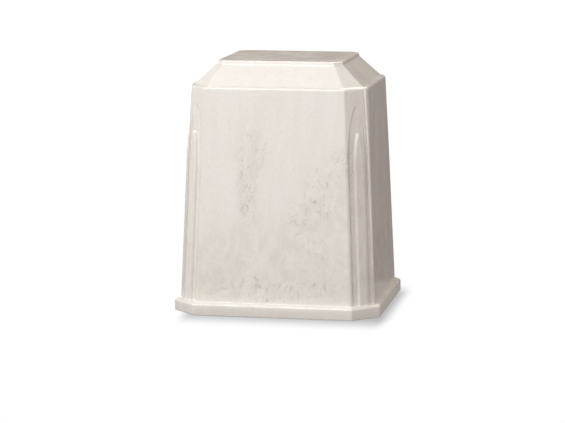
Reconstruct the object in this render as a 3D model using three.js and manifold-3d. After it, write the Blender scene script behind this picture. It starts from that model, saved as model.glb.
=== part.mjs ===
// A cremation urn cast in one piece in cultured marble: a tall block with clipped corners,
// a projecting foot, a hipped top with a small flat plateau, and a round-headed flute with a
// raised reed in it on each clipped corner. It is hollow, and a round plug closes the
// filling hole in its underside.
//
// Millimetres, +Z up, front towards -Y. The origin is the middle of the underside.

import * as THREE from 'three';
import { mergeVertices } from 'three/addons/utils/BufferGeometryUtils.js';
import Module from 'manifold-3d';

const wasm = await Module();
wasm.setup();

// Overall height, and the plan at the foot, the shoulder and the plateau. A clip is how far
// the cut corner runs back along each side.
const urnHeight = 229;
const foot = { width: 191, depth: 173, clip: 22.2 };
const shoulder = { width: 163.8, depth: 146, clip: 17.9 };
const plateau = { width: 115.6, depth: 103, clip: 6.8 };
const shoulderHeight = 207.2;

// The projecting foot.
const footHeight = 11.4;
const footOverhang = 5.3;
const footRound = 2.6;
const footCove = 1;
const undersideEase = 0.8;

// The rounded shoulder, the ledge behind it, and the bead around the plateau.
const shoulderRound = 2.3;
const shoulderLedge = 4.4;
const ledgeCove = 0.9;
const beadHeight = 3.2;
const beadRound = 1.6;
const beadDraft = 0.3;

// Upright corners. The wall's corners beside the narrow sides are softer than the ones
// beside the front and back, and widen further from a height up to the shoulder.
const footSideCorner = 5;
const footFrontCorner = 2.5;
const frontCorner = 3;
const sideCorner = 7;
const sideCornerTop = 15;
const sideCornerSpread = 145;
const sideHipCorner = 2;
const frontHipCorner = 5;
const plateauCorner = 2.5;
const cornerShare = 0.48;
const cornerSteps = 3;
const arcSteps = 4;

// Cast walls.
const wallThickness = 11;
const topThickness = 12;
const floorThickness = 12;
const chamberCorner = 3;

// The flute on each clipped corner and the reed in it: half widths, heights above the
// underside, the hollow's depth behind the face, the swell of its floor between the
// channels, and the reed's rise from there. Their middle line lies a little nearer to the
// urn's side than the face's.
const fluteShift = 0.3;
const fluteHalfWidth = 11.9;
const fluteSpring = 135;
const fluteApex = 192.5;
const fluteDepth = 2.3;
const fluteFlank = 2.7;
const fluteRunout = 26;
const fluteSill = 0.3;
const fluteSwell = 1.15;
const fluteSwellWidth = 3;
const reedHalfWidth = 5.3;
const reedSpring = 130;
const reedApex = 167;
const reedRise = 2.8;
const reedRound = 2.2;
const reedShoulder = 2.6;
const reedRoot = 0.6;
const straightSteps = 4;
const headSteps = 9;
const flankSteps = 3;

// The filling hole, and the plug that closes it.
const holeDiameter = 60;
const seatDiameter = 74;
const seatDepth = 4.6;
const plugRecess = 1;
const plugClearance = 0.35;
const plugTail = 8;
const plugEase = 0.8;
const slotLength = 38;
const slotWidth = 3.2;
const slotDepth = 2.4;
const roundSides = 48;

const reach = 2;
const eighth = Math.PI / 4;

const marble = new THREE.MeshStandardMaterial({ color: 0xe4dcd2, roughness: 0.2, metalness: 0 });
const plugPlastic = new THREE.MeshStandardMaterial({ color: 0x3a3836, roughness: 0.5, metalness: 0 });

// A plan is held as the distances of its eight faces from the middle, counter-clockwise from
// the +X face. Taking the same amount off each distance insets the plan evenly.
function planOf({ width, depth, clip }) {
  const side = width / 2;
  const end = depth / 2;
  const corner = (side + end - clip) / Math.SQRT2;
  return [side, corner, end, corner, side, corner, end, corner];
}

function inset(plan, amount) {
  return plan.map((distance) => distance - amount);
}

function between(planA, planB, share) {
  return planA.map((distance, face) => distance + (planB[face] - distance) * share);
}

// Where two neighbouring faces of a plan cross.
function crossing(plan, face) {
  const first = plan[face];
  const second = plan[(face + 1) % 8];
  const turn = Math.cos(eighth);
  const alongFirst = (first - second * turn) / (1 - turn * turn);
  const alongSecond = (second - first * turn) / (1 - turn * turn);
  const angle = face * eighth;
  return new THREE.Vector2(
    alongFirst * Math.cos(angle) + alongSecond * Math.cos(angle + eighth),
    alongFirst * Math.sin(angle) + alongSecond * Math.sin(angle + eighth),
  );
}

// One closed ring of points round a plan at a height, with the corner after each face rounded
// to its radius. A radius is limited to its share of the shortest face.
function ring(plan, radii, height) {
  const corners = plan.map((_, face) => crossing(plan, face));
  const lengths = corners.map((corner, face) => corner.distanceTo(corners[(face + 7) % 8]));
  const limit = (cornerShare * Math.min(...lengths)) / Math.tan(eighth / 2);
  const points = [];
  corners.forEach((corner, face) => {
    const bend = Math.min(radii[face], limit);
    const middle = (face + 0.5) * eighth;
    const back = bend / Math.cos(eighth / 2);
    const centreX = corner.x - back * Math.cos(middle);
    const centreY = corner.y - back * Math.sin(middle);
    for (let step = 0; step <= cornerSteps; step += 1) {
      const angle = (face + step / cornerSteps) * eighth;
      const x = centreX + bend * Math.cos(angle);
      const y = centreY + bend * Math.sin(angle);
      points.push(new THREE.Vector3(x, y, height));
    }
  });
  return points;
}

// The radii of a ring's corners, from the one beside a side and the one beside the front.
function cornerRadii(side, front) {
  return [side, front, front, side, side, front, front, side];
}

function circle(diameter, height) {
  const points = [];
  for (let side = 0; side < roundSides; side += 1) {
    const angle = (side / roundSides) * 2 * Math.PI;
    const x = (diameter / 2) * Math.cos(angle);
    const y = (diameter / 2) * Math.sin(angle);
    points.push(new THREE.Vector3(x, y, height));
  }
  return points;
}

// A closed skin through a stack of convex rings of equal count, with a flat end on the first
// and the last. Rings that wind the other way are turned, so that the faces point out.
function skin(rings) {
  const count = rings[0].length;
  const positions = rings.flat().flatMap((point) => point.toArray());
  const faces = [];
  for (let level = 0; level + 1 < rings.length; level += 1) {
    for (let i = 0; i < count; i += 1) {
      const next = (i + 1) % count;
      const a = level * count + i;
      const b = level * count + next;
      const c = a + count;
      const d = b + count;
      faces.push([a, b, d], [a, d, c]);
    }
  }
  const last = (rings.length - 1) * count;
  for (let i = 1; i + 1 < count; i += 1) {
    faces.push([0, i + 1, i], [last, last + i, last + i + 1]);
  }
  const corner = (index) => new THREE.Vector3().fromArray(positions, index * 3);
  const volume = faces.reduce(
    (sum, [a, b, c]) => sum + corner(a).dot(corner(b).cross(corner(c))),
    0,
  );
  const outward = volume > 0 ? faces : faces.map(([a, b, c]) => [a, c, b]);
  const geometry = new THREE.BufferGeometry();
  geometry.setAttribute('position', new THREE.Float32BufferAttribute(positions, 3));
  geometry.setIndex(outward.flat());
  return geometry;
}

function solid(geometry) {
  const bare = geometry.clone();
  bare.deleteAttribute('normal');
  bare.deleteAttribute('uv');
  const merged = mergeVertices(bare, 1e-4);
  return new wasm.Manifold(new wasm.Mesh({
    numProp: 3,
    vertProperties: new Float32Array(merged.attributes.position.array),
    triVerts: new Uint32Array(merged.index.array),
  }));
}

function geometryOf(body) {
  const { vertProperties, triVerts } = body.getMesh();
  const geometry = new THREE.BufferGeometry();
  geometry.setAttribute('position', new THREE.BufferAttribute(vertProperties, 3));
  geometry.setIndex(new THREE.BufferAttribute(triVerts, 1));
  const faceted = geometry.toNonIndexed();
  faceted.computeVertexNormals();
  return faceted;
}

// The shares of a quarter turn, 0 and 1 included.
function quarterTurn(steps) {
  return Array.from({ length: steps + 1 }, (_, step) => (step / steps) * (Math.PI / 2));
}

const footPlan = planOf(foot);
const wallFootPlan = inset(footPlan, footOverhang);
const shoulderPlan = planOf(shoulder);
const plateauPlan = planOf(plateau);
const wallFootHeight = footHeight + footCove;
const ledgePlan = inset(shoulderPlan, shoulderLedge);
const slopeTopHeight = urnHeight - beadHeight;
const slopeTopPlan = inset(plateauPlan, -beadDraft);

// The wall's plan at any height, its line carried on past both ends.
function wallPlan(height) {
  const share = (height - wallFootHeight) / (shoulderHeight - wallFootHeight);
  return between(wallFootPlan, shoulderPlan, share);
}

// The outside from the underside to the plateau, without the flutes.
function outside() {
  const footCorners = cornerRadii(footSideCorner, footFrontCorner);
  const wallCorners = cornerRadii(sideCorner, frontCorner);
  const shoulderCorners = cornerRadii(sideCornerTop, frontCorner);
  const hipCorners = cornerRadii(sideHipCorner, frontHipCorner);
  const plateauCorners = cornerRadii(plateauCorner, plateauCorner);
  const rings = [ring(inset(footPlan, undersideEase), footCorners, 0)];
  rings.push(ring(footPlan, footCorners, undersideEase));
  quarterTurn(arcSteps).forEach((turn) => {
    const plan = inset(footPlan, footRound * (1 - Math.cos(turn)));
    rings.push(ring(plan, footCorners, footHeight - footRound * (1 - Math.sin(turn))));
  });
  quarterTurn(arcSteps).forEach((turn) => {
    const plan = inset(footPlan, footOverhang - footCove * (1 - Math.sin(turn)));
    rings.push(ring(plan, wallCorners, footHeight + footCove * (1 - Math.cos(turn))));
  });
  rings.push(ring(wallPlan(sideCornerSpread), wallCorners, sideCornerSpread));
  const roundStart = shoulderHeight - shoulderRound;
  quarterTurn(arcSteps).forEach((turn) => {
    const height = roundStart + shoulderRound * Math.sin(turn);
    const plan = inset(wallPlan(roundStart), shoulderRound * (1 - Math.cos(turn)));
    rings.push(ring(plan, shoulderCorners, height));
  });
  rings.push(ring(inset(ledgePlan, -ledgeCove), hipCorners, shoulderHeight));
  const coveShare = ledgeCove / (slopeTopHeight - shoulderHeight);
  const coveTop = shoulderHeight + ledgeCove;
  rings.push(ring(between(ledgePlan, slopeTopPlan, coveShare), hipCorners, coveTop));
  rings.push(ring(slopeTopPlan, plateauCorners, slopeTopHeight));
  quarterTurn(arcSteps).forEach((turn) => {
    const plan = inset(plateauPlan, beadRound * (1 - Math.cos(turn)));
    rings.push(ring(plan, plateauCorners, urnHeight - beadRound * (1 - Math.sin(turn))));
  });
  return skin(rings);
}

// The chamber: it follows the walls at their thickness, and its roof follows the hips.
function chamber() {
  const rise = slopeTopHeight - shoulderHeight;
  const run = ledgePlan[0] - slopeTopPlan[0];
  const drop = wallThickness * Math.hypot(1, rise / run);
  const eaveRise = ((wallThickness - shoulderLedge) * rise) / run;
  const eaveHeight = shoulderHeight + eaveRise - drop;
  const ceilingHeight = urnHeight - topThickness;
  const ceilingShare = (ceilingHeight + drop - shoulderHeight) / rise;
  const ceilingPlan = between(ledgePlan, slopeTopPlan, ceilingShare);
  const corners = cornerRadii(chamberCorner, chamberCorner);
  const levels = [
    [wallPlan(floorThickness), floorThickness],
    [wallPlan(eaveHeight), eaveHeight],
  ];
  const rings = levels.map(([plan, height]) => {
    return ring(inset(plan, wallThickness), corners, height);
  });
  rings.push(ring(ceilingPlan, corners, ceilingHeight));
  return skin(rings);
}

// How much of its full depth the flute's floor has at a height: it runs out to nothing at
// the apex.
function runout(height) {
  const below = Math.min((fluteApex - height) / fluteRunout, 1);
  return below * (2 - below);
}

// An arch on straight sides with half an ellipse for its head, set in sideways by an amount.
// It starts at the bottom right and ends at the bottom left.
function arch({ halfWidth, spring, apex }, bottom, amount) {
  const length = apex - spring;
  const tip = Math.sqrt(1 - (amount / halfWidth) ** 2);
  const right = [];
  for (let step = 0; step < straightSteps; step += 1) {
    right.push([halfWidth - amount, bottom + ((spring - bottom) * step) / straightSteps]);
  }
  for (let step = 0; step < headSteps; step += 1) {
    const share = tip * Math.sin((step / headSteps) * (Math.PI / 2));
    const width = halfWidth * Math.sqrt(1 - share * share) - amount;
    right.push([width, spring + length * share]);
  }
  const left = right.map(([across, height]) => [-across, height]).reverse();
  return [...right, [0, spring + length * tip], ...left];
}

// A solid on one clipped corner's face, about the flute's middle line: arches stacked from
// layer to layer, each layer with its depth behind the face and how far its arch is set in.
function cornerSolid(corner, outline, bottom, layers) {
  const face = 2 * corner + 1;
  const angle = face * eighth;
  const shift = corner % 2 ? fluteShift : -fluteShift;
  const rings = layers.map(({ depthAt, amount }) => {
    return arch(outline, bottom, amount).map(([across, height]) => {
      const plan = wallPlan(height);
      const middle = (plan[(face + 1) % 8] - plan[face - 1]) / Math.SQRT2 + shift;
      const out = plan[face] - depthAt(height);
      const x = out * Math.cos(angle) - (across + middle) * Math.sin(angle);
      const y = out * Math.sin(angle) + (across + middle) * Math.cos(angle);
      return new THREE.Vector3(x, y, height);
    });
  });
  return solid(skin(rings));
}

// The depth of the flute's floor under the reed, at a height.
function swollenFloor(height) {
  return (fluteDepth - fluteSwell) * runout(height);
}

// The flute's hollow: its flank eases from the face down to a channel, and its floor swells
// from there.
function fluteHollow(corner) {
  const outline = { halfWidth: fluteHalfWidth, spring: fluteSpring, apex: fluteApex };
  const layers = [{ depthAt: () => -reach, amount: 0 }];
  for (let step = 0; step <= flankSteps; step += 1) {
    const share = step / flankSteps;
    const fall = share * share * (3 - 2 * share);
    layers.push({
      depthAt: (height) => fluteDepth * fall * runout(height),
      amount: fluteFlank * share,
    });
  }
  layers.push({ depthAt: swollenFloor, amount: fluteFlank + fluteSwellWidth });
  return cornerSolid(corner, outline, footHeight + fluteSill, layers);
}

// The reed in the flute: full-shouldered flanks up to a flat top.
function reed(corner) {
  const outline = { halfWidth: reedHalfWidth, spring: reedSpring, apex: reedApex };
  const layers = quarterTurn(flankSteps).map((turn) => ({
    depthAt: (height) => swollenFloor(height) - reedRise * Math.sin(turn) ** (2 / reedShoulder),
    amount: reedRound * (1 - Math.cos(turn) ** (2 / reedShoulder)),
  }));
  layers.unshift({ depthAt: (height) => swollenFloor(height) + reedRoot, amount: 0 });
  return cornerSolid(corner, outline, footHeight - reach, layers);
}

function urnBody() {
  let body = solid(outside()).subtract(solid(chamber()));
  const hole = [circle(holeDiameter, -reach), circle(holeDiameter, floorThickness + reach)];
  const seat = [circle(seatDiameter, -reach), circle(seatDiameter, seatDepth)];
  body = body.subtract(solid(skin(hole))).subtract(solid(skin(seat)));
  for (let corner = 0; corner < 4; corner += 1) {
    body = body.subtract(fluteHollow(corner)).add(reed(corner));
  }
  return geometryOf(body);
}

// The plug's slot, with round ends.
function plugSlot() {
  const straight = (slotLength - slotWidth) / 2;
  const shape = new THREE.Shape();
  shape.absarc(straight, 0, slotWidth / 2, -Math.PI / 2, Math.PI / 2);
  shape.absarc(-straight, 0, slotWidth / 2, Math.PI / 2, (3 * Math.PI) / 2);
  const cut = new THREE.ExtrudeGeometry(shape, {
    depth: slotDepth + reach,
    bevelEnabled: false,
    curveSegments: 8,
  });
  return solid(cut.translate(0, 0, plugRecess - reach));
}

// A head in the seat and a tail in the hole.
function basePlug() {
  const headDiameter = seatDiameter - 2 * plugClearance;
  const tailDiameter = holeDiameter - 2 * plugClearance;
  const headTop = seatDepth - plugClearance;
  const tailTop = headTop + plugTail;
  const rings = [
    circle(headDiameter - 2 * plugEase, plugRecess),
    circle(headDiameter, plugRecess + plugEase),
    circle(headDiameter, headTop),
    circle(tailDiameter, headTop),
    circle(tailDiameter, tailTop - plugEase),
    circle(tailDiameter - 2 * plugEase, tailTop),
  ];
  return geometryOf(solid(skin(rings)).subtract(plugSlot()));
}

function named(name, geometry, material) {
  const mesh = new THREE.Mesh(geometry, material);
  mesh.name = name;
  return mesh;
}

const urn = new THREE.Group();
urn.add(named('urn_body', urnBody(), marble));
urn.add(named('base_plug', basePlug(), plugPlastic));

export default urn;
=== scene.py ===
"""A cremation urn in polished cultured marble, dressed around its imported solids.

The casting is one closed surface of true form: plateau, hipped top, shoulder, leaning walls
with a cabled flute on each clipped corner, projecting foot, filling hole and chamber. The
plug in its underside is turned, with a screw thread and a slot. Metres, +Z up, front
towards -Y.
"""

import logging
import math
from dataclasses import dataclass, field
from enum import Enum

import bpy
import numpy as np
from mathutils import Matrix, Vector

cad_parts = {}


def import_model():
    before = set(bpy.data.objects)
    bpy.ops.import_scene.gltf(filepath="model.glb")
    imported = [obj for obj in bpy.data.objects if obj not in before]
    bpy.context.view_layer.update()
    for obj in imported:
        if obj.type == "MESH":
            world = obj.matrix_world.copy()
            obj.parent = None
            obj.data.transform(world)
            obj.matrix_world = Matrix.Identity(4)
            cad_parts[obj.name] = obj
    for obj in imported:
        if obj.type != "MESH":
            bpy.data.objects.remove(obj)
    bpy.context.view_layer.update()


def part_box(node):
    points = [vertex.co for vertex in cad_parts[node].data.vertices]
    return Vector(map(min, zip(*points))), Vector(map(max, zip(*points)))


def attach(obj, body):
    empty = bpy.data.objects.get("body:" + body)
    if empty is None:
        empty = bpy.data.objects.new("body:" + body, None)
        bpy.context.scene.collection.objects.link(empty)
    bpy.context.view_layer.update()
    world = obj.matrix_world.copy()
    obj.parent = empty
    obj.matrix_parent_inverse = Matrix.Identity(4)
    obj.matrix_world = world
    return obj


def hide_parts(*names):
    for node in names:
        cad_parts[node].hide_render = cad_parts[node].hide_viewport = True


LOG = logging.getLogger("urn")

Socket = bpy.types.NodeSocket

MM = 0.001
TINY = 1e-9
EIGHTH = math.pi / 4
SHARP_ANGLE = math.radians(50)
FRAME_WIDTH = 565
WHITE = (1, 1, 1, 1)
BLACK = (0, 0, 0, 1)


class RowKind(Enum):
    """What one level of the casting's surface is: a turn round the plan, or a circle."""

    PLAN = "plan"
    CIRCLE = "circle"


@dataclass(frozen=True)
class Plan:
    """An eight-sided plan: a rectangle with its corners clipped at 45 degrees."""

    half_width: float
    half_depth: float
    clip: float

    def distances(self) -> np.ndarray:
        """Works out how far each face is from the middle, from +X counter-clockwise.

        Returns:
            Eight distances. A clipped corner's is (half width + half depth - clip) over
            the square root of two.
        """
        corner = (self.half_width + self.half_depth - self.clip) / math.sqrt(2)
        return np.array([self.half_width, corner, self.half_depth, corner] * 2)


@dataclass(frozen=True)
class Row:
    """One level of the casting's surface."""

    distances: np.ndarray
    corner: np.ndarray | float
    height: float
    relief: float = 0.0
    kind: RowKind = RowKind.PLAN


class Perimeter:
    """Where a turn round the plan is sampled: each face, then the corner after it."""

    def __init__(
        self, main_steps: int, clip_steps: int, corner_steps: int, hold: float
    ) -> None:
        """Lays out the samples.

        Args:
            main_steps: samples across each of the four wide faces.
            clip_steps: samples across each clipped corner's face.
            corner_steps: steps in the turn of each rounded corner.
            hold: share of a wide face between its ends and their nearest samples, which
                keeps its shading flat up to the corner.
        """
        faces, shares, turns = [], [], []
        main = np.concatenate([[hold], np.linspace(0, 1, main_steps)[1:-1], [1 - hold]])
        clip = np.linspace(0, 1, clip_steps + 2)[1:-1]
        arc = np.linspace(0, 1, corner_steps + 1)
        for face in range(8):
            across = clip if face % 2 else main
            faces += [face] * (len(across) + len(arc))
            shares += [*across, *np.ones(len(arc))]
            turns += [*np.full(len(across), -1.0), *arc]
        self.face = np.array(faces)
        self.share = np.array(shares)
        self.turn = np.array(turns)

    def points(self, distances: np.ndarray, corner: np.ndarray) -> np.ndarray:
        """Places the samples on a stack of plans.

        Two neighbouring faces at distances a and b, whose normals stand 45 degrees apart
        (cosine c), cross at ((a - b c) n1 + (b - a c) n2) / (1 - c c). The corner's arc has
        its centre back from there by its radius over the cosine of half the turn.

        Args:
            distances: the eight face distances of each row, rows by 8.
            corner: the radius of the corner after each face, rows by 8.

        Returns:
            Points in the plan, rows by samples by 2.
        """
        angles = np.arange(8) * EIGHTH
        normals = np.stack([np.cos(angles), np.sin(angles)], 1)
        middles = np.stack([np.cos(angles + EIGHTH / 2), np.sin(angles + EIGHTH / 2)], 1)
        cosine = math.cos(EIGHTH)
        after = np.roll(distances, -1, 1)
        along = (distances - after * cosine) / (1 - cosine**2)
        along_after = (after - distances * cosine) / (1 - cosine**2)
        normals_after = np.roll(normals, -1, 0)
        cross = along[..., None] * normals + along_after[..., None] * normals_after
        radius = corner[..., None]
        centres = cross - radius / math.cos(EIGHTH / 2) * middles
        starts = np.roll(centres + radius * normals_after, 1, 1)[:, self.face]
        ends = (centres + radius * normals)[:, self.face]
        straight = starts + (ends - starts) * self.share[:, None]
        bearing = (self.face + np.maximum(self.turn, 0)) * EIGHTH
        spokes = np.stack([np.cos(bearing), np.sin(bearing)], 1)
        curved = centres[:, self.face] + radius[:, self.face] * spokes
        return np.where((self.turn >= 0)[:, None], curved, straight)


@dataclass(frozen=True)
class Arch:
    """A tall arch on straight sides, with half an ellipse for its head."""

    half_width: float
    spring: float
    apex: float

    def inside(self, across: np.ndarray, height: np.ndarray) -> np.ndarray:
        """Measures how far inside the outline a place is; outside it is negative.

        With x across over the half width W, and t the height above the spring line over the
        head's length L, r = sqrt(x x + t t) is 1 on the outline. The distance is 1 - r over
        the length of r's gradient, which is sqrt((x / W)^2 + (t / L)^2) / r.

        Args:
            across: distance from the arch's middle line.
            height: height above the underside.

        Returns:
            The distance inside, in metres.
        """
        length = self.apex - self.spring
        x = np.maximum(np.abs(across), TINY) / self.half_width
        t = np.maximum(height - self.spring, 0) / length
        radius = np.hypot(x, t)
        return (1 - radius) * radius / np.hypot(x / self.half_width, t / length)


@dataclass(frozen=True)
class CabledFlute:
    """The flute on a clipped corner, with a raised reed standing in it."""

    hollow: Arch = Arch(11.9 * MM, 135 * MM, 192.5 * MM)
    reed: Arch = Arch(5.3 * MM, 130 * MM, 167 * MM)
    shift: float = 0.3 * MM
    hollow_depth: float = 2.3 * MM
    hollow_flank: float = 2.7 * MM
    hollow_runout: float = 26 * MM
    soft_side_apex: float = 181 * MM
    soft_side_runout: float = 34 * MM
    soft_side_blend: float = 3 * MM
    swell: float = 1.15 * MM
    swell_width: float = 3 * MM
    reed_rise: float = 2.8 * MM
    reed_round: float = 2.2 * MM
    reed_shoulder: float = 2.6

    def depth(self, across: np.ndarray, height: np.ndarray) -> np.ndarray:
        """Gives how far behind the face the surface lies; in front of it is negative.

        The hollow's flank falls as a smooth step to a channel, and its floor swells from
        there as x (2 - x) over its own width. Both run out to nothing at the apex, as
        x (2 - x) for the share x of the run-out's length below it, and sooner on the half
        towards the urn's side, where the arris is soft. The reed rises from the floor as a
        full-shouldered quarter round, (1 - (1 - s)^p)^(1 / p) for its rounding's share s.

        Args:
            across: distance from the face's middle line, towards the urn's side.
            height: height above the underside.

        Returns:
            Depths in metres.
        """
        across = across - self.shift
        below = np.clip((self.hollow.apex - height) / self.hollow_runout, 0, 1)
        soft = np.clip((self.soft_side_apex - height) / self.soft_side_runout, 0, 1)
        towards = self.ease(0.5 + across / (2 * self.soft_side_blend))
        below = below * (2 - below) * (1 - towards) + soft * (2 - soft) * towards
        inside = self.hollow.inside(across, height)
        fall = self.ease(inside / self.hollow_flank)
        up = np.clip((inside - self.hollow_flank) / self.swell_width, 0, 1)
        floor = self.hollow_depth * fall - self.swell * up * (2 - up)
        turn = np.clip(self.reed.inside(across, height) / self.reed_round, 0, 1)
        rise = (1 - (1 - turn) ** self.reed_shoulder) ** (1 / self.reed_shoulder)
        return floor * below - self.reed_rise * rise

    @staticmethod
    def ease(share: np.ndarray) -> np.ndarray:
        """Turns a share from 0 to 1 into a smooth step."""
        held = np.clip(share, 0, 1)
        return held * held * (3 - 2 * held)


def quarter(steps: int) -> np.ndarray:
    """Gives the angles of a quarter turn, both ends included."""
    return np.linspace(0, math.pi / 2, steps + 1)


def back_vector(azimuth: float, elevation: float) -> Vector:
    """Works out the direction from the urn to a viewpoint.

    Args:
        azimuth: degrees from the front towards +X, a.
        elevation: degrees above the floor, e.

    Returns:
        The unit vector (sin a cos e, -cos a cos e, sin e).
    """
    around, above = math.radians(azimuth), math.radians(elevation)
    level = math.cos(above)
    return Vector((math.sin(around) * level, -math.cos(around) * level, math.sin(above)))


def placed(name: str, data: bpy.types.ID) -> bpy.types.Object:
    """Makes an object of a mesh, light or camera and links it to the scene."""
    item = bpy.data.objects.new(name, data)
    bpy.context.scene.collection.objects.link(item)
    return item


def closed_mesh(
    name: str, rows: np.ndarray, first: np.ndarray, last: np.ndarray
) -> bpy.types.Object:
    """Joins turns of points into a closed mesh object, with one pole at each end.

    Args:
        name: the object's name.
        rows: the turns, rows by samples by 3, in order from the first pole to the last.
        first: the first pole.
        last: the last pole.

    Returns:
        The object, smooth except across sharp angles, linked to the scene.
    """
    count, samples = rows.shape[:2]
    index = np.arange(count * samples).reshape(count, samples)
    turned = np.roll(index, -1, 1)
    quads = np.stack([index[:-1], index[1:], turned[1:], turned[:-1]], -1).reshape(-1, 4)
    poles = np.repeat([[count * samples], [count * samples + 1]], samples, 1)
    caps = np.concatenate([
        np.stack([poles[0], index[0], turned[0]], -1),
        np.stack([poles[1], turned[-1], index[-1]], -1),
    ])
    vertices = np.concatenate([rows.reshape(-1, 3), [first, last]])
    mesh = bpy.data.meshes.new(name)
    mesh.from_pydata(vertices.tolist(), [], quads.tolist() + caps.tolist())
    mesh.polygons.foreach_set("use_smooth", np.ones(len(mesh.polygons), bool))
    mesh.update()
    mesh.set_sharp_from_angle(angle=SHARP_ANGLE)
    return placed(name, mesh)


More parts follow.
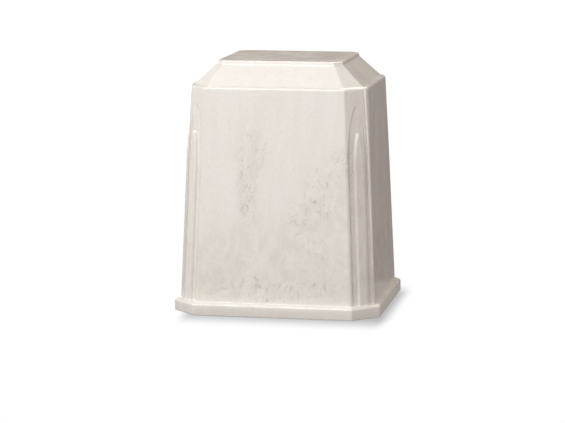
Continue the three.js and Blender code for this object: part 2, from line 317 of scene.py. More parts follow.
@dataclass
class Casting:
    """The urn's one-piece casting, from the plateau down to the foot and up its inside."""

    high: Vector
    foot_clip: float = 22.2 * MM
    shoulder: Plan = Plan(81.9 * MM, 73 * MM, 17.9 * MM)
    plateau: Plan = Plan(57.8 * MM, 51.5 * MM, 6.8 * MM)
    shoulder_height: float = 207.2 * MM
    foot_height: float = 11.4 * MM
    foot_overhang: float = 5.3 * MM
    foot_round: float = 2.6 * MM
    foot_cove: float = 1.0 * MM
    underside_ease: float = 0.8 * MM
    shoulder_round: float = 2.3 * MM
    shoulder_ledge: float = 4.4 * MM
    ledge_cove: float = 1.2 * MM
    ledge_rise: float = 1.6 * MM
    bead_height: float = 3.2 * MM
    bead_round: float = 1.6 * MM
    bead_draft: float = 0.3 * MM
    bead_cove: float = 1.0 * MM
    foot_corners: tuple[float, float] = (5 * MM, 2.5 * MM)
    front_corner: float = 3 * MM
    side_corner: float = 7 * MM
    side_corner_top: float = 15 * MM
    side_corner_spread: float = 145 * MM
    hip_corners: tuple[float, float] = (2 * MM, 5 * MM)
    plateau_corner: float = 2.5 * MM
    chamber_corner: float = 3 * MM
    wall: float = 11 * MM
    top_thickness: float = 12 * MM
    floor_thickness: float = 12 * MM
    hole_radius: float = 30 * MM
    seat_radius: float = 37 * MM
    seat_depth: float = 4.6 * MM
    edge_ease: float = 0.5 * MM
    flute: CabledFlute = CabledFlute()
    perimeter: Perimeter = field(
        default_factory=lambda: Perimeter(
            main_steps=6, clip_steps=72, corner_steps=6, hold=0.006
        )
    )
    plateau_shares: tuple[float, ...] = (0.5, 0.9)
    slope_shares: tuple[float, ...] = (0.9, 0.5, 0.12)
    underside_share: float = 0.97
    bead_steps: int = 7
    blend_steps: int = 4
    round_steps: int = 8
    cove_steps: int = 6
    ease_steps: int = 4
    head_step: float = 0.55 * MM
    rows_above_flute: int = 3
    rows_below_head: int = 15

    def __post_init__(self) -> None:
        """Works out the plans that the frame's box and the sizes give."""
        foot = Plan(self.high.x, self.high.y, self.foot_clip)
        self.foot_plan = foot.distances()
        self.wall_foot = self.foot_plan - self.foot_overhang
        self.wall_foot_height = self.foot_height + self.foot_cove
        self.shoulder_plan = self.shoulder.distances()
        self.plateau_plan = self.plateau.distances()
        self.drop_foot = self.plateau_plan + self.bead_draft
        self.drop_height = self.high.z - self.bead_height
        self.ledge_plan = self.shoulder_plan - self.shoulder_ledge
        side, front = self.foot_corners
        self.foot_corner = np.array([side, front, front, side] * 2)
        side, front = self.hip_corners
        self.hip_corner = np.array([side, front, front, side] * 2)
        self.shoulder_corner = self.wall_corner(self.shoulder_height)

    def wall_corner(self, height: float) -> np.ndarray:
        """Gives the radii of the wall's eight corners at a height.

        The corners beside the front and back are crisp. Those beside the sides are softer,
        and widen evenly from a height up to the shoulder.

        Args:
            height: the height above the underside.

        Returns:
            The radius of the corner after each face, counter-clockwise from the +X face.
        """
        rise = self.shoulder_height - self.side_corner_spread
        share = np.clip((height - self.side_corner_spread) / rise, 0, 1)
        side = self.side_corner + (self.side_corner_top - self.side_corner) * share
        return np.array([side, self.front_corner, self.front_corner, side] * 2)

    def wall_plan(self, height: float) -> np.ndarray:
        """Gives the wall's eight distances at a height, also past both its ends."""
        rise = self.shoulder_height - self.wall_foot_height
        share = (height - self.wall_foot_height) / rise
        return self.wall_foot + (self.shoulder_plan - self.wall_foot) * share

    def slope_row(self, share: float) -> Row:
        """Gives the hipped top's row at a share of the way from ledge to plateau."""
        plan = self.ledge_plan + (self.drop_foot - self.ledge_plan) * share
        height = self.shoulder_height + (self.drop_height - self.shoulder_height) * share
        corner = self.hip_corner + (self.plateau_corner - self.hip_corner) * share
        return Row(plan, corner, height)

    def blend_rows(self, before: Row, middle: Row, after: Row) -> list[Row]:
        """Rounds the angle between two slopes with a parabola through three rows.

        Each row is a (1 - t)^2 + 2 m t (1 - t) + b t^2 of the rows before, at and after the
        angle.

        Args:
            before: the row where the curve starts.
            middle: the row where the two slopes would cross.
            after: the row where the curve ends.

        Returns:
            The curve's rows, both ends included.
        """
        rows = []
        for t in np.linspace(0, 1, self.blend_steps + 1):
            weights = ((1 - t) ** 2, 2 * t * (1 - t), t * t)
            trio = list(zip(weights, (before, middle, after)))
            plan = sum(weight * row.distances for weight, row in trio)
            corner = sum(weight * row.corner for weight, row in trio)
            height = sum(weight * row.height for weight, row in trio)
            rows.append(Row(plan, corner, height))
        return rows

    def top_rows(self) -> list[Row]:
        """Builds the rows from the plateau over its bead and down the hips to the ledge."""
        rows = [
            Row(self.plateau_plan * share, self.plateau_corner * share, self.high.z)
            for share in self.plateau_shares
        ]
        for turn in quarter(self.bead_steps):
            inset = self.bead_round * (1 - math.sin(turn))
            height = self.high.z - self.bead_round * (1 - math.cos(turn))
            rows.append(Row(self.plateau_plan - inset, self.plateau_corner, height))
        rise = self.drop_height - self.shoulder_height
        run = self.ledge_plan[0] - self.drop_foot[0]
        slope = math.hypot(rise, run)
        lift = self.bead_cove
        draft = self.bead_draft * lift / (self.bead_height - self.bead_round)
        above = Row(self.drop_foot - draft, self.plateau_corner, self.drop_height + lift)
        below = self.slope_row(1 - self.bead_cove / slope)
        rows += self.blend_rows(above, self.slope_row(1.0), below)
        rows += [self.slope_row(share) for share in self.slope_shares]
        start = self.slope_row(self.ledge_rise / slope)
        ledge = Row(self.ledge_plan, self.hip_corner, self.shoulder_height)
        out_plan = self.ledge_plan + self.ledge_cove
        out = Row(out_plan, self.shoulder_corner, self.shoulder_height)
        rows += self.blend_rows(start, ledge, out)
        return rows

    def wall_rows(self) -> list[Row]:
        """Builds the rows from the rounded shoulder down the wall to the foot's cove."""
        rows = []
        start = self.shoulder_height - self.shoulder_round
        plan = self.wall_plan(start)
        for turn in quarter(self.round_steps):
            inset = self.shoulder_round * (1 - math.sin(turn))
            height = start + self.shoulder_round * math.cos(turn)
            rows.append(Row(plan - inset, self.shoulder_corner, height, relief=1.0))
        head_top = self.flute.hollow.apex + self.head_step
        head_foot = self.flute.reed.spring
        upper = np.linspace(start, head_top, self.rows_above_flute + 2)[1:-1]
        head_count = round((head_top - head_foot) / self.head_step)
        head = np.linspace(head_top, head_foot, head_count + 1)
        lower = np.linspace(head_foot, self.wall_foot_height, self.rows_below_head + 1)[1:]
        for height in np.concatenate([upper, head, lower]):
            corner = self.wall_corner(height)
            rows.append(Row(self.wall_plan(height), corner, height, relief=1.0))
        for turn in quarter(self.cove_steps)[1:]:
            inset = self.foot_overhang - self.foot_cove * (1 - math.cos(turn))
            height = self.foot_height + self.foot_cove * (1 - math.sin(turn))
            corner = self.wall_corner(height)
            rows.append(Row(self.foot_plan - inset, corner, height, relief=1.0))
        return rows

    def foot_rows(self) -> list[Row]:
        """Builds the rows of the foot's edge and the underside's rim."""
        rows = []
        for turn in quarter(self.round_steps):
            inset = self.foot_round * (1 - math.sin(turn))
            height = self.foot_height - self.foot_round * (1 - math.cos(turn))
            rows.append(Row(self.foot_plan - inset, self.foot_corner, height))
        for turn in quarter(self.ease_steps):
            inset = self.underside_ease * (1 - math.cos(turn))
            height = self.underside_ease * (1 - math.sin(turn))
            rows.append(Row(self.foot_plan - inset, self.foot_corner, height))
        rows.append(Row(self.foot_plan * self.underside_share, self.foot_corner, 0.0))
        return rows

    def hole_rows(self) -> list[Row]:
        """Builds the rows of the plug's seat and the hole, up to the chamber's floor."""
        ease = self.edge_ease
        profile = [
            (self.seat_radius + 2 * ease, 0.0),
            (self.seat_radius + ease, 0.0),
            (self.seat_radius, ease),
            (self.seat_radius, self.seat_depth - ease / 2),
            (self.seat_radius - ease / 2, self.seat_depth),
            (self.hole_radius + ease, self.seat_depth),
            (self.hole_radius, self.seat_depth + ease),
            (self.hole_radius, self.floor_thickness - ease),
            (self.hole_radius + ease, self.floor_thickness),
            (self.hole_radius + 2 * ease, self.floor_thickness),
        ]
        no_plan = np.zeros(8)
        return [
            Row(no_plan, radius, height, kind=RowKind.CIRCLE) for radius, height in profile
        ]

    def chamber_rows(self) -> list[Row]:
        """Builds the rows of the chamber, whose roof lies the wall's thickness within."""
        rise = self.drop_height - self.shoulder_height
        run = self.ledge_plan[0] - self.drop_foot[0]
        drop = self.wall * math.hypot(1, rise / run)
        eave = self.shoulder_height + (self.wall - self.shoulder_ledge) * rise / run - drop
        ceiling = self.high.z - self.top_thickness
        share = (ceiling + drop - self.shoulder_height) / rise
        ceiling_plan = self.ledge_plan + (self.drop_foot - self.ledge_plan) * share
        levels = [
            (self.wall_plan(self.floor_thickness) - self.wall, self.floor_thickness),
            (self.wall_plan(eave) - self.wall, eave),
            (ceiling_plan, ceiling),
        ]
        return [Row(plan, self.chamber_corner, height) for plan, height in levels]

    def surface(self, rows: list[Row]) -> np.ndarray:
        """Turns the rows into points.

        A plan row is a turn round the plan, pressed in along each clipped face's normal by
        the flute's depth there. The face's middle lies off its normal by (b - a) / sqrt(2),
        where a and b are the distances of the faces before and after it. A circle row has
        its samples at the bearings of the foot's.

        Args:
            rows: the rows in order.

        Returns:
            Points, rows by samples by 3.
        """
        distances = np.array([row.distances for row in rows])
        corner = np.array([np.broadcast_to(row.corner, 8) for row in rows])
        heights = np.array([row.height for row in rows])
        relief = np.array([row.relief for row in rows])
        circles = np.array([row.kind is RowKind.CIRCLE for row in rows])
        around = self.perimeter
        flat = around.points(distances, corner)
        bearing = around.face * EIGHTH
        normals = np.stack([np.cos(bearing), np.sin(bearing)], 1)
        tangents = np.stack([-np.sin(bearing), np.cos(bearing)], 1)
        ends = np.roll(distances, -1, 1) - np.roll(distances, 1, 1)
        middle = (ends / math.sqrt(2))[:, around.face]
        across = np.einsum("rnk,nk->rn", flat, tangents) - middle
        side = np.where(around.face % 4 == 1, -1, 1)
        depth = self.flute.depth(across * side, heights[:, None]) * relief[:, None]
        clipped = around.face % 2 == 1
        flat = flat - np.where(clipped & (around.turn < 0), depth, 0)[..., None] * normals
        foot = around.points(self.foot_plan[None], self.foot_corner[None])[0]
        spokes = foot / np.linalg.norm(foot, axis=1, keepdims=True)
        flat = np.where(circles[:, None, None], corner[:, :1, None] * spokes, flat)
        tall = np.broadcast_to(heights[:, None, None], (*flat.shape[:2], 1))
        return np.concatenate([flat, tall], -1)

    def build(self) -> bpy.types.Object:
        """Builds the casting.

        Returns:
            The casting's object, riding on the root body in the solid's place.
        """
        rows = self.top_rows() + self.wall_rows() + self.foot_rows()
        rows += self.hole_rows() + self.chamber_rows()
        top = np.array([0, 0, self.high.z])
        ceiling = np.array([0, 0, self.high.z - self.top_thickness])
        piece = closed_mesh("marble_casting", self.surface(rows), top, ceiling)
        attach(piece, "root")
        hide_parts("urn_body")
        return piece


@dataclass
class Plug:
    """The round plug in the underside: a head in its seat, a threaded tail in the hole."""

    low: Vector
    high: Vector
    head_height: float = 3.25 * MM
    tail_radius: float = 29.65 * MM
    ease: float = 0.8 * MM
    slot_half_length: float = 19 * MM
    slot_half_width: float = 1.6 * MM
    slot_depth: float = 2.4 * MM
    slot_flank: float = 0.35 * MM
    thread_pitch: float = 2.5 * MM
    thread_depth: float = 1.0 * MM
    first_ring: float = 0.5
    last_ring: float = 21.5
    ring_step: float = 0.4
    rim_steps: int = 6
    tail_rows: int = 27
    samples: int = 240

    def profile(self) -> list[tuple[float, float]]:
        """Lays out the head's radius and height, from the face's middle to the tail.

        The face's rings, whose first, last and step are in millimetres, are close together
        so that the slot has a clean edge.
        """
        head, base = self.high.x, self.low.z
        rings = np.arange(self.first_ring, self.last_ring, self.ring_step) * MM
        points = [(radius, base) for radius in rings]
        for turn in quarter(self.rim_steps):
            inset = self.ease * (1 - math.sin(turn))
            points.append((head - inset, base + self.ease * (1 - math.cos(turn))))
        shelf = base + self.head_height
        return points + [(head, shelf), (self.tail_radius, shelf)]

    def build(self) -> bpy.types.Object:
        """Builds the plug.

        The face is pressed up inside the slot, an oblong whose ends are round. The tail's
        radius falls by the thread's depth times a wave of (height / pitch - turn), which
        winds round it as a screw.

        Returns:
            The plug's object, riding on the root body in the solid's place.
        """
        radii, heights = np.array(self.profile()).T
        tail = np.linspace(heights[-1], self.high.z - self.ease, self.tail_rows + 1)[1:]
        turn = np.arange(self.samples) / self.samples
        spin = -2 * math.pi * turn
        x = radii[:, None] * np.cos(spin)
        y = radii[:, None] * np.sin(spin)
        straight = np.maximum(np.abs(x) - (self.slot_half_length - self.slot_half_width), 0)
        inside = self.slot_half_width - np.hypot(straight, y)
        press = self.slot_depth * CabledFlute.ease(inside / self.slot_flank)
        face = np.stack([x, y, heights[:, None] + press], -1)
        wave = 0.5 - 0.5 * np.cos(2 * math.pi * (tail[:, None] / self.thread_pitch + turn))
        fade = np.clip((tail - tail[0]) / self.ease, 0, 1)[:, None]
        threaded = self.tail_radius - self.thread_depth * wave * fade
        end = np.full((1, self.samples), self.tail_radius - self.thread_depth - self.ease)
        radius = np.concatenate([threaded, end])
        tall = np.broadcast_to([*tail, self.high.z], (self.samples, len(radius))).T
        winding = np.stack([radius * np.cos(spin), radius * np.sin(spin), tall], -1)
        rows = np.concatenate([face, winding])
        middle = np.array([0, 0, self.low.z + self.slot_depth])
        piece = closed_mesh("screw_plug", rows, middle, np.array([0, 0, self.high.z]))
        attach(piece, "root")
        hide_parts("base_plug")
        return piece


class Shading:
    """A material's node tree, with short calls for the nodes that the finishes share."""

    def __init__(self, name: str) -> None:
        """Starts a material with a surface shader and Object coordinates."""
        self.material = bpy.data.materials.new(name)
        self.material.use_nodes = True
        self.tree = self.material.node_tree
        self.tree.nodes.clear()
        self.surface = self.tree.nodes.new("ShaderNodeBsdfPrincipled")
        output = self.tree.nodes.new("ShaderNodeOutputMaterial")
        self.link(self.surface.outputs[0], output.inputs[0])
        self.place = self.tree.nodes.new("ShaderNodeTexCoord").outputs["Object"]

    def link(self, source: Socket, target: Socket) -> None:
        """Joins two sockets."""
        self.tree.links.new(source, target)

    def feed(self, value: object, target: Socket) -> None:
        """Sets a socket to a number or colour, or joins it to another socket."""
        if isinstance(value, Socket):
            self.link(value, target)
        else:
            target.default_value = value

    def math(self, operation: str, first: object, second: object = 0.0) -> Socket:
        """Adds a Math node and returns its result."""
        node = self.tree.nodes.new("ShaderNodeMath")
        node.operation = operation
        self.feed(first, node.inputs[0])
        self.feed(second, node.inputs[1])
        return node.outputs[0]

    def vector_math(self, operation: str, *values: object) -> bpy.types.ShaderNode:
        """Adds a Vector Math node and returns it."""
        node = self.tree.nodes.new("ShaderNodeVectorMath")
        node.operation = operation
        for value, target in zip(values, node.inputs):
            self.feed(value, target)
        return node

    def moved(self, place: Socket, centre: tuple, tilt: float, scale: tuple) -> Socket:
        """Moves a place so that a centre becomes the origin, tilted about Y and scaled."""
        node = self.tree.nodes.new("ShaderNodeMapping")
        node.vector_type = "TEXTURE"
        node.inputs["Location"].default_value = centre
        node.inputs["Rotation"].default_value = (0, math.radians(tilt), 0)
        node.inputs["Scale"].default_value = scale
        self.link(place, node.inputs["Vector"])
        return node.outputs[0]

    def noise(
        self,
        place: Socket,
        scale: float,
        detail: float,
        warp: float = 0.0,
        coarse: float = 0.5,
    ) -> bpy.types.ShaderNode:
        """Adds a Noise Texture node and returns it."""
        node = self.tree.nodes.new("ShaderNodeTexNoise")
        self.link(place, node.inputs["Vector"])
        node.inputs["Scale"].default_value = scale
        node.inputs["Detail"].default_value = detail
        node.inputs["Distortion"].default_value = warp
        node.inputs["Roughness"].default_value = coarse
        return node

    def ramp(self, value: Socket, across: tuple, to: tuple = (0.0, 1.0)) -> Socket:
        """Maps a value smoothly from one range to another, held at both ends."""
        node = self.tree.nodes.new("ShaderNodeMapRange")
        node.interpolation_type = "SMOOTHSTEP"
        self.link(value, node.inputs["Value"])
        for end, values in (("From", across), ("To", to)):
            node.inputs[f"{end} Min"].default_value = values[0]
            node.inputs[f"{end} Max"].default_value = values[1]
        return node.outputs[0]

    def mix(self, share: object, first: object, second: object) -> Socket:
        """Mixes two colours by a share, through the Mix node's sockets for colours."""
        node = self.tree.nodes.new("ShaderNodeMix")
        node.data_type = "RGBA"
        self.feed(share, node.inputs[0])
        self.feed(first, node.inputs[6])
        self.feed(second, node.inputs[7])
        return node.outputs[2]

    def bump(self, height: Socket, strength: float, distance: float) -> None:
        """Gives the surface a bump from a height."""
        node = self.tree.nodes.new("ShaderNodeBump")
        node.inputs["Strength"].default_value = strength
        node.inputs["Distance"].default_value = distance
        self.link(height, node.inputs["Height"])
        self.link(node.outputs[0], self.surface.inputs["Normal"])

    def only_glow(self, colour: tuple, strength: object) -> None:
        """Makes the surface one that only glows."""
        self.surface.inputs["Base Color"].default_value = BLACK
        self.surface.inputs["Specular IOR Level"].default_value = 0.0
        self.surface.inputs["Emission Color"].default_value = colour
        self.feed(strength, self.surface.inputs["Emission Strength"])


@dataclass(frozen=True)
class Cloud:
    """A soft ellipsoid in the block, in millimetres: where a tone or flecks gather."""

    centre: tuple[float, float, float]
    half: tuple[float, float, float]
    tilt: float = 0.0
    core: float = 0.35

    def share(self, shading: Shading, place: Socket) -> Socket:
        """Adds nodes for its share at a place: 1 in its core, fading to 0 at its edge."""
        centre = Vector(self.centre) * MM
        within = shading.moved(place, centre, self.tilt, Vector(self.half) * MM)
        length = shading.vector_math("LENGTH", within).outputs["Value"]
        return shading.ramp(length, (self.core, 1.0), (1.0, 0.0))


@dataclass(frozen=True)
class Pattern:
    """A noise in the block with its cell in millimetres, and the range of it that shows."""

    cell: tuple[float, float, float]
    shown: tuple[float, float]
    detail: float
    tilt: float = 0.0
    offset: tuple[float, float, float] = (0, 0, 0)
    warp: float = 0.0
    coarse: float = 0.5

    def share(self, shading: Shading, place: Socket, most: float = 1.0) -> Socket:
        """Adds nodes for its share at a place, from 0 up to the most that is asked for."""
        offset = Vector(self.offset) * MM
        stretched = shading.moved(place, offset, self.tilt, Vector(self.cell) * MM)
        noise = shading.noise(stretched, 1.0, self.detail, self.warp, self.coarse)
        return shading.ramp(noise.outputs["Fac"], self.shown, (0.0, most))


@dataclass(frozen=True)
class CulturedMarble:
    """Polished cultured marble: a warm off-white ground, smoky clouds, broken flecks, and
    painted shade laid as smoke on the right side wall.
    """

    light: tuple = (0.772, 0.738, 0.700, 1)
    warm: tuple = (0.758, 0.712, 0.662, 1)
    smoke: tuple = (0.610, 0.566, 0.492, 1)
    fleck: tuple = (0.400, 0.355, 0.290, 1)
    smoke_share: float = 0.62
    grain_share: float = 0.22
    fleck_share: float = 0.52
    streaks: Pattern = Pattern((10, 5, 75), (0.36, 0.68), 7, tilt=3)
    mottle: Pattern = Pattern((8, 8, 15), (0.30, 0.74), 9, tilt=10, coarse=0.64)
    grain: Pattern = Pattern((1.6, 1.6, 3.2), (0.42, 0.72), 5)
    strands: Pattern = Pattern(
        (3.0, 4.2, 7.2), (0.53, 0.70), 6, tilt=12, offset=(10, 0, 20), warp=0.25
    )
    bend_scale: float = 38.0
    bend_detail: float = 4.0
    bend_reach: tuple = (30 * MM, 30 * MM, 34 * MM)
    haze_scale: float = 40.0
    haze_detail: float = 3.0
    haze_shown: tuple[float, float] = (0.3, 0.7)
    roughness: tuple[float, float] = (0.18, 0.27)
    gloss: float = 0.5
    gloss_roughness: float = 0.06
    wave_scale: float = 22.0
    wave_detail: float = 1.0
    wave_strength: float = 0.12
    wave_height: float = 0.4 * MM
    smoke_and_shade_clouds: tuple[Cloud, ...] = (
        Cloud((10, 0, 48), (190, 190, 62)),
        Cloud((58, -78, 112), (40, 60, 84), 34),
        Cloud((-23, -78, 128), (20, 40, 70), 3),
        Cloud((40, -78, 55), (18, 30, 20), 20),
        Cloud((-50, -82, 42), (40, 40, 52), -20),
        # This cloud on the right side wall, the side turned from the key light, is painted
        # shade: it darkens that side, mostly towards the back.
        Cloud((84, 60, 60), (40, 90, 150)),
        Cloud((-20, 70, 110), (60, 40, 90), 35),
    )
    fleck_clouds: tuple[Cloud, ...] = (
        Cloud((-22, -78, 130), (17, 40, 72), 3),
        Cloud((4, -82, 25), (80, 30, 20)),
        Cloud((40, -80, 60), (20, 30, 24), 30),
        Cloud((44, -78, 112), (26, 40, 62), 34),
        Cloud((20, 76, 90), (16, 40, 100), 25),
        Cloud((-80, 10, 100), (30, 30, 90)),
    )

    @staticmethod
    def gathered(shading: Shading, place: Socket, clouds: tuple[Cloud, ...]) -> Socket:
        """Adds nodes for the largest share of several clouds."""
        most, *others = [cloud.share(shading, place) for cloud in clouds]
        for share in others:
            most = shading.math("MAXIMUM", share, most)
        return most

    def bent(self, shading: Shading) -> Socket:
        """Adds nodes for a place that a slow noise moves to and fro by half the reach."""
        drift = shading.noise(shading.place, self.bend_scale, self.bend_detail)
        colour, reach = drift.outputs["Color"], Vector(self.bend_reach)
        bend = shading.vector_math("MULTIPLY_ADD", colour, reach, -reach / 2)
        return shading.vector_math("ADD", shading.place, bend.outputs[0]).outputs[0]

    def build(self) -> bpy.types.Material:
        """Builds the material.

        The streaked ground is tinted by smoke where mottle and clouds meet (on the right
        side wall this is painted shade), by a fine grain everywhere, and by flecks where
        strands and their own clouds meet.

        Returns:
            The material, patterned on Object coordinates.
        """
        shading = Shading("cultured_marble")
        place = shading.place
        bent = self.bent(shading)
        ground = shading.mix(self.streaks.share(shading, place), self.light, self.warm)
        clouds = self.gathered(shading, bent, self.smoke_and_shade_clouds)
        # The smoke share, which on the right side wall is painted shade.
        smoke = shading.math("MULTIPLY", self.mottle.share(shading, bent), clouds)
        smoke = shading.math("MULTIPLY", smoke, self.smoke_share)
        clouded = shading.mix(smoke, ground, self.smoke)
        grain = self.grain.share(shading, place, self.grain_share)
        grained = shading.mix(grain, clouded, self.smoke)
        clouds = self.gathered(shading, bent, self.fleck_clouds)
        fleck = shading.math("MULTIPLY", self.strands.share(shading, bent), clouds)
        fleck = shading.math("MULTIPLY", fleck, self.fleck_share)
        veined = shading.mix(fleck, grained, self.fleck)
        shading.link(veined, shading.surface.inputs["Base Color"])
        haze = shading.noise(place, self.haze_scale, self.haze_detail).outputs["Fac"]
        rough = shading.ramp(haze, self.haze_shown, self.roughness)
        shading.link(rough, shading.surface.inputs["Roughness"])
        shading.surface.inputs["Coat Weight"].default_value = self.gloss
        shading.surface.inputs["Coat Roughness"].default_value = self.gloss_roughness
        wave = shading.noise(place, self.wave_scale, self.wave_detail).outputs["Fac"]
        shading.bump(wave, self.wave_strength, self.wave_height)
        return shading.material


@dataclass(frozen=True)
class MouldedPlastic:
    """Satin moulded plastic with a fine grain, for the plug."""

    colour: tuple = (0.030, 0.028, 0.026, 1)
    worn: tuple = (0.050, 0.047, 0.043, 1)
    wear_scale: float = 60.0
    wear_detail: float = 3.0
    wear_shown: tuple[float, float] = (0.4, 0.7)
    haze_shown: tuple[float, float] = (0.3, 0.7)
    roughness: tuple[float, float] = (0.36, 0.50)
    grain_scale: float = 1800.0
    grain_detail: float = 2.0
    grain_strength: float = 0.2
    grain_height: float = 0.1 * MM

    def build(self) -> bpy.types.Material:
        """Builds the material.

        Returns:
            The material, patterned on Object coordinates.
        """
        shading = Shading("moulded_plastic")
        place = shading.place
        wear = shading.noise(place, self.wear_scale, self.wear_detail).outputs["Fac"]
        tone = shading.mix(shading.ramp(wear, self.wear_shown), self.colour, self.worn)
        shading.link(tone, shading.surface.inputs["Base Color"])
        rough = shading.ramp(wear, self.haze_shown, self.roughness)
        shading.link(rough, shading.surface.inputs["Roughness"])
        grain = shading.noise(place, self.grain_scale, self.grain_detail).outputs["Fac"]
        shading.bump(grain, self.grain_strength, self.grain_height)
        return shading.material


@dataclass(frozen=True)
class Softbox:
    """An area light that looks at the urn."""

    name: str
    azimuth: float
    elevation: float
    distance: float
    width: float
    height: float
    power: float
    colour: tuple = (1, 1, 1)

    def build(self, aim: Vector) -> None:
        """Places the light round a point, at an azimuth from the front and an elevation."""
        light = bpy.data.lights.new(self.name, "AREA")
        light.shape = "RECTANGLE"
        light.size = self.width
        light.size_y = self.height
        light.energy = self.power
        light.color = self.colour
        lamp = placed(self.name, light)
        back = back_vector(self.azimuth, self.elevation)
        lamp.location = aim + back * self.distance
        lamp.rotation_euler = back.to_track_quat("Z", "Y").to_euler()
        lamp.visible_camera = False


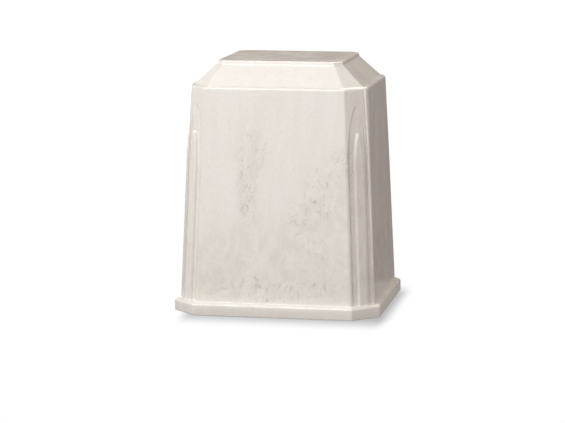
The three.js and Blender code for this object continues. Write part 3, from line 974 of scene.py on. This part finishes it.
@dataclass
class Studio:
    """A white floor that only glows, with a painted shadow round the foot, soft light and
    the photograph's camera.
    """

    height: float
    azimuth: float = 11.18168
    elevation: float = 9.39531
    roll: float = -0.20096
    distance: float = 9.5
    aim_right: float = -0.02980
    aim_up: float = -0.13304
    focal_pixels: float = 2338.848
    sensor_width: float = 36.0
    clip_end: float = 100.0
    floor_radius: float = 14.0
    floor_sides: int = 96
    floor_drop: float = 0.3 * MM
    # The box and falloff of the painted shadow round the foot, where the floor glows less.
    shade_centre: tuple[float, float, float] = (0.010, -0.016, 0)
    shade_half: tuple[float, float] = (0.084, 0.0125)
    shade_stretch: float = 4.0
    shade_reach: float = 0.016
    shade_glow: float = 0.48
    card_across: tuple[float, float] = (0.06, 0.70)
    card_along: tuple[float, float] = (-0.40, 0.134)
    card_drop: float = 0.15 * MM
    card_colour: tuple = (1, 0.95, 0.88, 1)
    card_glow: float = 0.34
    ambient: float = 0.21
    ambient_colour: tuple = (1, 0.90, 0.85, 1)
    lights: tuple[Softbox, ...] = (
        Softbox("left_box", -50, 32, 1.6, 1.8, 1.5, 18.9, (1, 0.99, 0.975)),
        Softbox("high_box", 10, 50, 1.6, 1.3, 1.1, 13.9, (0.96, 0.99, 1)),
        Softbox("low_fill", -5, 8, 1.6, 1.3, 1.1, 4.3),
        Softbox("left_card", -90, 8, 1.6, 1.3, 1.1, 1.8),
        Softbox("left_back_card", -142, 3, 1.6, 1.1, 0.4, 5.6, (1, 0.97, 0.93)),
        Softbox("right_card", 60, 8, 1.6, 1.3, 1.1, 1.8, (1, 0.95, 0.89)),
        Softbox("side_strip", 104, 10, 1.6, 0.34, 1.2, 6.0, (1, 0.90, 0.87)),
        Softbox("back_box", 180, 40, 1.6, 1.0, 0.9, 10.4, (1, 0.875, 0.64)),
    )

    def camera(self) -> None:
        """Sets the camera, whose picture is turned about its back vector by the roll.

        Its distances are in heights of the urn, from its middle.
        """
        around, roll = math.radians(self.azimuth), math.radians(self.roll)
        back = back_vector(self.azimuth, self.elevation)
        right = Vector((math.cos(around), math.sin(around), 0))
        up = back.cross(right)
        aim = back * self.distance + right * self.aim_right + up * self.aim_up
        place = (aim + Vector((0, 0, 0.5))) * self.height
        side = right * math.cos(roll) + up * math.sin(roll)
        rise = up * math.cos(roll) - right * math.sin(roll)
        lens = bpy.data.cameras.new("camera")
        lens.sensor_width = self.sensor_width
        lens.lens = self.focal_pixels * self.sensor_width / FRAME_WIDTH
        lens.clip_end = self.clip_end
        camera = placed("camera", lens)
        turned = Matrix((side, rise, back)).transposed().to_4x4()
        camera.matrix_world = Matrix.Translation(place) @ turned
        bpy.context.scene.camera = camera

    @staticmethod
    def sheet(
        name: str, corners: list, drop: float, material: bpy.types.Material
    ) -> bpy.types.Object:
        """Lays a flat sheet a little under the urn's underside, unseen by soft light.

        Args:
            name: the object's name.
            corners: its corners in order, as points at height 0.
            drop: how far down it lies.
            material: its material.

        Returns:
            The sheet's object, linked to the scene.
        """
        mesh = bpy.data.meshes.new(name)
        mesh.from_pydata(corners, [], [tuple(range(len(corners)))])
        mesh.materials.append(material)
        sheet = placed(name, mesh)
        sheet.location.z = -drop
        sheet.visible_diffuse = False
        return sheet

    def floor(self) -> None:
        """Lays a wide round floor under the urn.

        It only glows, white, and less so near the foot, where the lower glow is a painted
        shadow.
        The glow follows the distance to a box round the foot: sqrt(x x + y y), where x and
        y are how far a place lies past the box's half sizes, with y counted at the inverse
        of its stretch.
        """
        shading = Shading("floor_glow_painted_shadow")
        stretch = (1, self.shade_stretch, 1)
        near = shading.moved(shading.place, self.shade_centre, 0, stretch)
        split = shading.tree.nodes.new("ShaderNodeSeparateXYZ")
        shading.link(near, split.inputs[0])
        past = []
        for axis, half in enumerate(self.shade_half):
            away = shading.math("ABSOLUTE", split.outputs[axis])
            held = shading.math("MAXIMUM", shading.math("SUBTRACT", away, half), 0.0)
            past.append(shading.math("MULTIPLY", held, held))
        distance = shading.math("SQRT", shading.math("ADD", *past))
        # Painted shadow: the glow falls to shade_glow at the box round the foot.
        glow = shading.ramp(distance, (0.0, self.shade_reach), (self.shade_glow, 1.0))
        shading.only_glow(WHITE, glow)
        turns = np.linspace(0, 2 * math.pi, self.floor_sides, endpoint=False)
        rim = np.stack([np.cos(turns), np.sin(turns), turns * 0], 1) * self.floor_radius
        floor = self.sheet("floor", rim.tolist(), self.floor_drop, shading.material)
        floor.visible_glossy = False

    def card(self) -> None:
        """Lays a card on the floor at the right that only glows, seen only mirrored in the
        polish: a painted reflection of lit floor.
        """
        shading = Shading("card_painted_reflection")
        # The card's own glow, not light falling on it, makes its painted reflection in the
        # side wall.
        shading.only_glow(self.card_colour, self.card_glow)
        (left, right), (near, far) = self.card_across, self.card_along
        corners = [(left, near, 0), (right, near, 0), (right, far, 0), (left, far, 0)]
        card = self.sheet("card", corners, self.card_drop, shading.material)
        card.rotation_euler.z = -math.radians(self.azimuth)
        card.visible_camera = False
        card.visible_shadow = False

    def backdrop(self) -> None:
        """Sets a soft ambient light, seen by the camera as plain white."""
        world = bpy.data.worlds.new("studio")
        bpy.context.scene.world = world
        world.use_nodes = True
        tree = world.node_tree
        tree.nodes.clear()
        output = tree.nodes.new("ShaderNodeOutputWorld")
        mixed = tree.nodes.new("ShaderNodeMixShader")
        path = tree.nodes.new("ShaderNodeLightPath")
        tree.links.new(path.outputs["Is Camera Ray"], mixed.inputs[0])
        tones = ((self.ambient_colour, self.ambient), (WHITE, 1.0))
        for slot, (colour, strength) in enumerate(tones, 1):
            tone = tree.nodes.new("ShaderNodeBackground")
            tone.inputs["Color"].default_value = colour
            tone.inputs["Strength"].default_value = strength
            tree.links.new(tone.outputs[0], mixed.inputs[slot])
        tree.links.new(mixed.outputs[0], output.inputs[0])

    def build(self) -> None:
        """Sets up the camera, floor, card, ambient light and softboxes."""
        self.camera()
        self.floor()
        self.card()
        self.backdrop()
        aim = Vector((0, 0, self.height / 2))
        for light in self.lights:
            light.build(aim)
        bpy.context.scene.view_settings.view_transform = "Standard"


def dress(piece: bpy.types.Object, material: bpy.types.Material) -> None:
    """Gives a piece its material and reports it."""
    piece.data.materials.append(material)
    LOG.info("%s: %d faces, %s", piece.name, len(piece.data.polygons), material.name)


def main() -> None:
    """Builds the urn and its studio."""
    logging.basicConfig(level=logging.INFO, format="%(name)s: %(message)s")
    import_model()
    _, body_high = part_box("urn_body")
    plug_low, plug_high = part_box("base_plug")
    Studio(height=body_high.z).build()
    dress(Casting(body_high).build(), CulturedMarble().build())
    dress(Plug(plug_low, plug_high).build(), MouldedPlastic().build())
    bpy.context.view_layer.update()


if __name__ == "__main__":
    main()
